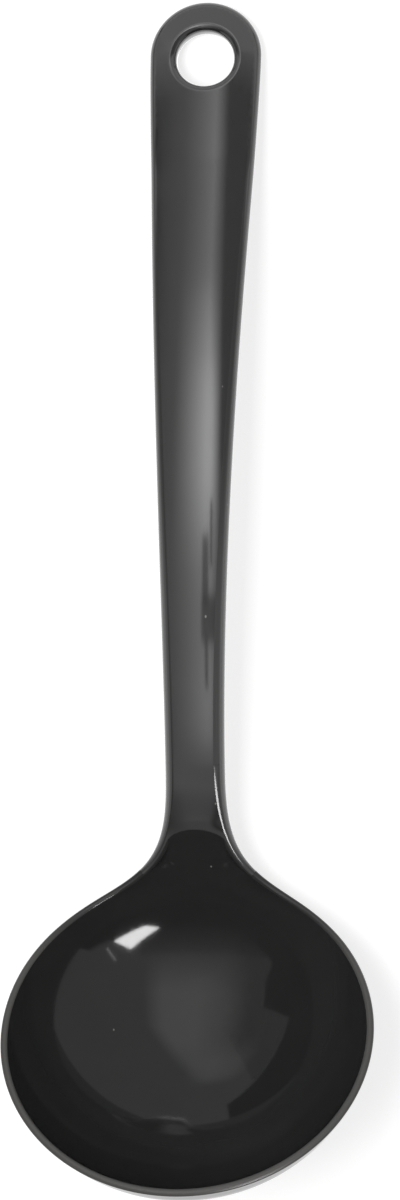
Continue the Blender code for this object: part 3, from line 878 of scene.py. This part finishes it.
def strip_level(tree, x, y, z, stage):
    """Strip softbox over the handle: a slow rise from the left, a quick fall on the right."""
    inner = add_node(tree, 'MapRange', {"Value": y, "From Min": 0.20, "From Max": 0.33,
                                        "To Min": 0.035, "To Max": 0.010})
    right = (x, 0.090, inner)
    rise = add_node(tree, 'Math', {0: fade(tree, [(x, -0.200, 0.005)]), 1: 1.5}, operation='POWER')
    # Brightness along the strip, by y, over one metre
    first_y = -0.42
    stops = ((-0.33, 0.0), (-0.22, 0.35), (-0.08, 0.36), (0.0, 0.57), (0.06, 0.84), (0.14, 1.0),
             (0.20, 0.96), (0.27, 0.72), (0.34, 0.52), (0.41, 0.31), (0.50, 0.30))
    along = add_node(tree, 'Math', {0: y, 1: first_y}, operation='SUBTRACT', use_clamp=True)
    levels = add_node(tree, 'FloatCurve', {"Value": along})
    curve = levels.mapping.curves[0]
    for stop_y, brightness in stops:
        curve.points.new(stop_y - first_y, brightness)
    curve.points[0].location = (0.0, 0.0)
    curve.points[-1].location = (1.0, 0.0)
    levels.mapping.update()
    strip = add_node(tree, 'Math', {0: rise, 1: levels}, operation='MULTIPLY')
    strip = add_node(tree, 'Math', {0: strip, 1: stage.strip_light}, operation='MULTIPLY')
    level = fade(tree, [right], strip)

    spill = fade(tree, [(x, -0.45, -0.15), right], stage.strip_spill)
    wall = fade(tree, [(x, 0.080, 0.120), (y, 0.12, -0.05), (y, -0.75, -0.45)], stage.wall_light)
    # The room's light, which the faded card should take from the bowl only
    room = fade(tree, [(y, -0.17, -0.40), (y, -0.48, -0.41)], stage.room_light)
    for light in (spill, room, wall):
        level = add_node(tree, 'Math', {0: level, 1: light}, operation='ADD')

    # A lamp stand hangs in front: its thin rod, its neck, its clamp and the end of its post
    stand = (((0.034, -0.02), (0.044, 0.062), 0.004), ((-0.006, -0.07), (0.020, 0.014), 0.008),
             ((-0.010, -0.118), (0.110, -0.066), 0.012), ((0.006, -0.185), (0.018, -0.118), 0.006))
    for low, high, soft in stand:
        dark = soft_box(tree, x, y, low, high, soft, 0.8)
        clear = add_node(tree, 'Math', {0: 1.0, 1: dark}, operation='SUBTRACT')
        level = add_node(tree, 'Math', {0: level, 1: clear}, operation='MULTIPLY')
    return level


def end_level(tree, x, y, z, stage):
    """Wide light over the handle's end, which comes up over a short way across the whole width."""
    return fade(tree, [(y, 0.134, 0.149)], stage.end_light)


def round_level(tree, x, y, z, stage):
    """Soft light over the bowl, cut off aslant on one side, with a lobe beyond the far end."""
    ahead = fade(tree, [(y, 0.25, 1.25)], 0.55)
    aslant = add_node(tree, 'Math', {0: x, 1: ahead}, operation='ADD')
    light = fade(tree, [(aslant, 0.31, 0.17), (x, -0.42, -0.04), (y, -0.26, 0.0), (y, 1.15, 0.35)])
    lobe = soft_box(tree, x, y, (-0.46, 0.60), (-0.24, 0.85), 0.25, 0.55)
    both = add_node(tree, 'Math', {0: light, 1: lobe}, operation='ADD', use_clamp=True)
    return add_node(tree, 'Math', {0: both, 1: stage.round_light}, operation='MULTIPLY')


def card_level(tree, x, y, z, beside_neck, stage):
    """White card by the ladle, bright beside the neck and, low down, along the whole ladle."""
    high = fade(tree, [(y, 0.25, -0.1)], beside_neck)
    low = add_node(tree, 'Math', {0: fade(tree, [(z, 0.5, 0.0)]), 1: 1.5}, operation='POWER')
    return add_node(tree, 'Math', {0: low, 1: stage.low_light, 2: high}, operation='MULTIPLY_ADD')


def board(name, height, fade_out=0.02, level=0.0, thin=0.0):
    """Card on a stand, black or of a grey level, that fades out upwards from a height.

    Thin is the share of the light that comes through the card itself, as through gauze.
    """
    material, tree = new_material(name)
    tree.nodes.clear()
    card = add_node(tree, 'Emission', {"Strength": level})
    clear = add_node(tree, 'BsdfTransparent')
    _, _, z = axes(tree)
    gone = add_node(tree, 'MapRange', {"Value": z, "From Min": height, "From Max": height + fade_out,
                                       "To Min": thin})
    both = add_node(tree, 'MixShader', {0: gone, 1: card, 2: clear})
    add_node(tree, 'OutputMaterial', {"Surface": both})
    return material


def add_softboxes(stage, bowl, handle):
    """The three softboxes over the ladle."""
    boxes = (("strip_panel", (-0.45, 0.6), (-1.05, 0.58), 0.6, "strip_softbox", strip_level, handle),
             ("wide_panel", (-0.2, 0.2), (0.12, 0.4), 0.1, "wide_softbox", end_level, handle),
             ("round_panel", (-0.75, 0.35), (-0.35, 1.2), 0.61, "round_softbox", round_level, bowl))
    for name, x, y, height, light, level, pieces in boxes:
        add_reflection(name, level_panel(x, y, height), glow(light, level, stage), pieces)


def add_windows(stage, bowl, neck):
    """The window at the right and a gap beside it.

    Their corners lie in the directions in which a point of the moulding mirrors them.
    """
    window = glow("window", stage.window_light)
    gap = glow("window_gap", stage.window_light / 6)
    in_bowl, on_shoulder = (-0.0104, -0.0559, 0.0043), (-0.014, -0.049, 0.009)
    panels = (
        ("window_panel", window, bowl, in_bowl, 1.2,
         ((0.68, -0.39, 0.62), (0.56, -0.32, 0.76), (0.29, -0.53, 0.80), (0.41, -0.54, 0.73))),
        ("window_by_the_neck", window, neck, in_bowl, 1.2,
         ((0.62, -0.57, 0.54), (0.47, -0.50, 0.73), (0.25, -0.42, 0.87), (0.25, -0.66, 0.70))),
        ("window_foot", window, bowl, on_shoulder, 0.9,
         ((0.65, -0.72, 0.26), (0.37, -0.92, 0.14), (0.33, -0.83, 0.45), (0.57, -0.68, 0.45))),
        ("slit_panel", gap, bowl, in_bowl, 1.1,
         ((0.734, -0.332, 0.592), (0.742, -0.318, 0.588), (0.693, -0.212, 0.689), (0.683, -0.222, 0.695))))
    for name, light, pieces, point, distance, directions in panels:
        add_reflection(name, np.array(point) + distance * np.array(directions), light, pieces)


def add_boards():
    """Cards round the ladle and over the table that keep the room's light out of the gloss."""
    cards = (
        ("left_board", (-0.9, -0.3), (-0.9, 0.2), (0.0, 0.76, 1.12), board("tall_black_card", 0.9)),
        ("corner_board", (-0.9, -0.9), (-0.9, -0.3), (0.0, 1.28, 0.76), board("corner_black_card", 1.3)),
        ("low_board", (-0.9, 0.2), (-0.9, 2.2), (0.0, 0.5), board("low_black_card", 0.45)),
        ("near_board", (-2.4, -0.9), (2.4, -0.9), (0.0, 1.4), board("wide_black_card", 1.15, 0.2)),
        ("haze_board", (-2.4, -0.92), (1.5, -0.92), (1.0, 3.2), board("faded_black_card", 1.15, 1.95)),
        ("gauze_board", (-0.95, -0.9), (-0.95, 1.2), (0.5, 2.4), board("black_gauze", 1.2, 1.1, thin=0.62)))
    for name, start, end, heights, card in cards:
        add_reflection(name, upright_panel(start, end, *heights), card)
    ground = level_panel((-1.0, 1.0), (-1.0, 1.0), 0.0001)
    add_reflection("dull_ground", ground, board("grey_ground", 0.1, level=0.15))


def add_shine(stage, bowl, handle):
    """The lit table as the edges show it, and the white cards that stand on it."""
    by_handle = level_panel((-0.25, 0.25), (-0.25, 0.25), 0.0003)
    add_reflection("table_shine", by_handle, glow("table_shine", stage.table_shine), handle)
    by_bowl = level_panel((-0.06, 0.06), (-0.13, -0.01), 0.0004)
    add_reflection("bowl_shine", by_bowl, glow("table_shine_by_the_bowl", stage.bowl_shine), bowl)
    cards = (("left_card", (-0.7, -0.6), (-0.7, 0.7), 0.7, stage.side_light),
             ("right_card", (0.7, -0.6), (0.7, 0.7), 0.7, stage.side_light / 2),
             ("far_card", (-0.7, 0.8), (0.7, 0.8), 0.5, 0.0))
    for name, start, end, high, beside_neck in cards:
        light = glow(name, card_level, beside_neck, stage)
        add_reflection(name, upright_panel(start, end, 0.0, high), light, handle)


def add_world(scene, stage):
    """Even light from all round, which the camera sees as white."""
    world = bpy.data.worlds.new("studio")
    world.use_nodes = True
    scene.world = world
    sky = world.node_tree.nodes["Background"]
    sky.inputs["Color"].default_value = (1.0, 1.0, 1.0, 1.0)
    path = add_node(world.node_tree, 'LightPath').outputs["Is Camera Ray"]
    seen = add_node(world.node_tree, 'MapRange', {"Value": path, "To Min": stage.room_light})
    world.node_tree.links.new(seen.outputs["Result"], sky.inputs["Strength"])


def add_camera(stage):
    """The camera over the ladle, a little to the right of it, at the photograph's angle and scale."""
    tilt, roll = radians(6.529), radians(-0.309)
    aim = np.array([-0.000849, -0.001407, 0.0])
    level = np.array([cos(tilt), 0.0, -sin(tilt)])
    depth = np.array([0.0, 1.0, 0.0])
    back = np.array([sin(tilt), 0.0, cos(tilt)])
    data = bpy.data.cameras.new("camera")
    data.sensor_fit = 'VERTICAL'
    data.sensor_height = SENSOR_HEIGHT
    data.lens = PIXELS_PER_METRE * stage.camera_distance * SENSOR_HEIGHT / FRAME_HEIGHT
    camera = bpy.data.objects.new("camera", data)
    bpy.context.scene.collection.objects.link(camera)
    camera.matrix_world = turned(cos(roll) * level - sin(roll) * depth, sin(roll) * level + cos(roll) * depth,
                                 back, aim + stage.camera_distance * back)
    bpy.context.scene.camera = camera


class LADLE_OT_stage(Operator):
    """Build the table, the lights and the camera"""
    bl_idname = "ladle.stage"
    bl_label = "Stage"

    def execute(self, context):
        scene = context.scene
        stage = scene.ladle_stage
        bowl = [scene.objects["bowl_skin"]]
        neck = [scene.objects["neck_skin"]]
        handle = [scene.objects["handle_skin"]] + neck
        add_table(stage)
        add_world(scene, stage)
        add_key_light(stage)
        add_softboxes(stage, bowl, handle)
        add_windows(stage, bowl, neck)
        add_boards()
        add_shine(stage, bowl, handle)
        add_camera(stage)
        scene.view_settings.view_transform = 'Standard'
        return {'FINISHED'}


class LADLE_PT_panel(Panel):
    """Buttons for the ladle's pieces and its stage"""
    bl_idname = "LADLE_PT_panel"
    bl_label = "Sauce Ladle"
    bl_space_type = 'VIEW_3D'
    bl_region_type = 'UI'
    bl_category = "Ladle"

    def draw(self, context):
        for operator in OPERATORS:
            self.layout.operator(operator.bl_idname)


OPERATORS = (LADLE_OT_bowl, LADLE_OT_neck, LADLE_OT_handle, LADLE_OT_stage)
SETTINGS = {"ladle_shape": LadleShape, "ladle_finish": LadleFinish, "ladle_stage": LadleStage}
CLASSES = (*SETTINGS.values(), *OPERATORS, LADLE_PT_panel)


def register():
    """Register the add-on's classes and its settings."""
    for item in CLASSES:
        bpy.utils.register_class(item)
    for name, group in SETTINGS.items():
        setattr(bpy.types.Scene, name, PointerProperty(type=group))


def unregister():
    """Take the settings and classes away again."""
    for name in SETTINGS:
        delattr(bpy.types.Scene, name)
    for item in reversed(CLASSES):
        bpy.utils.unregister_class(item)


def main():
    """Build every piece and the stage."""
    register()
    bpy.ops.ladle.bowl()
    bpy.ops.ladle.neck()
    bpy.ops.ladle.handle()
    bpy.ops.ladle.stage()


if __name__ == "__main__":
    main()
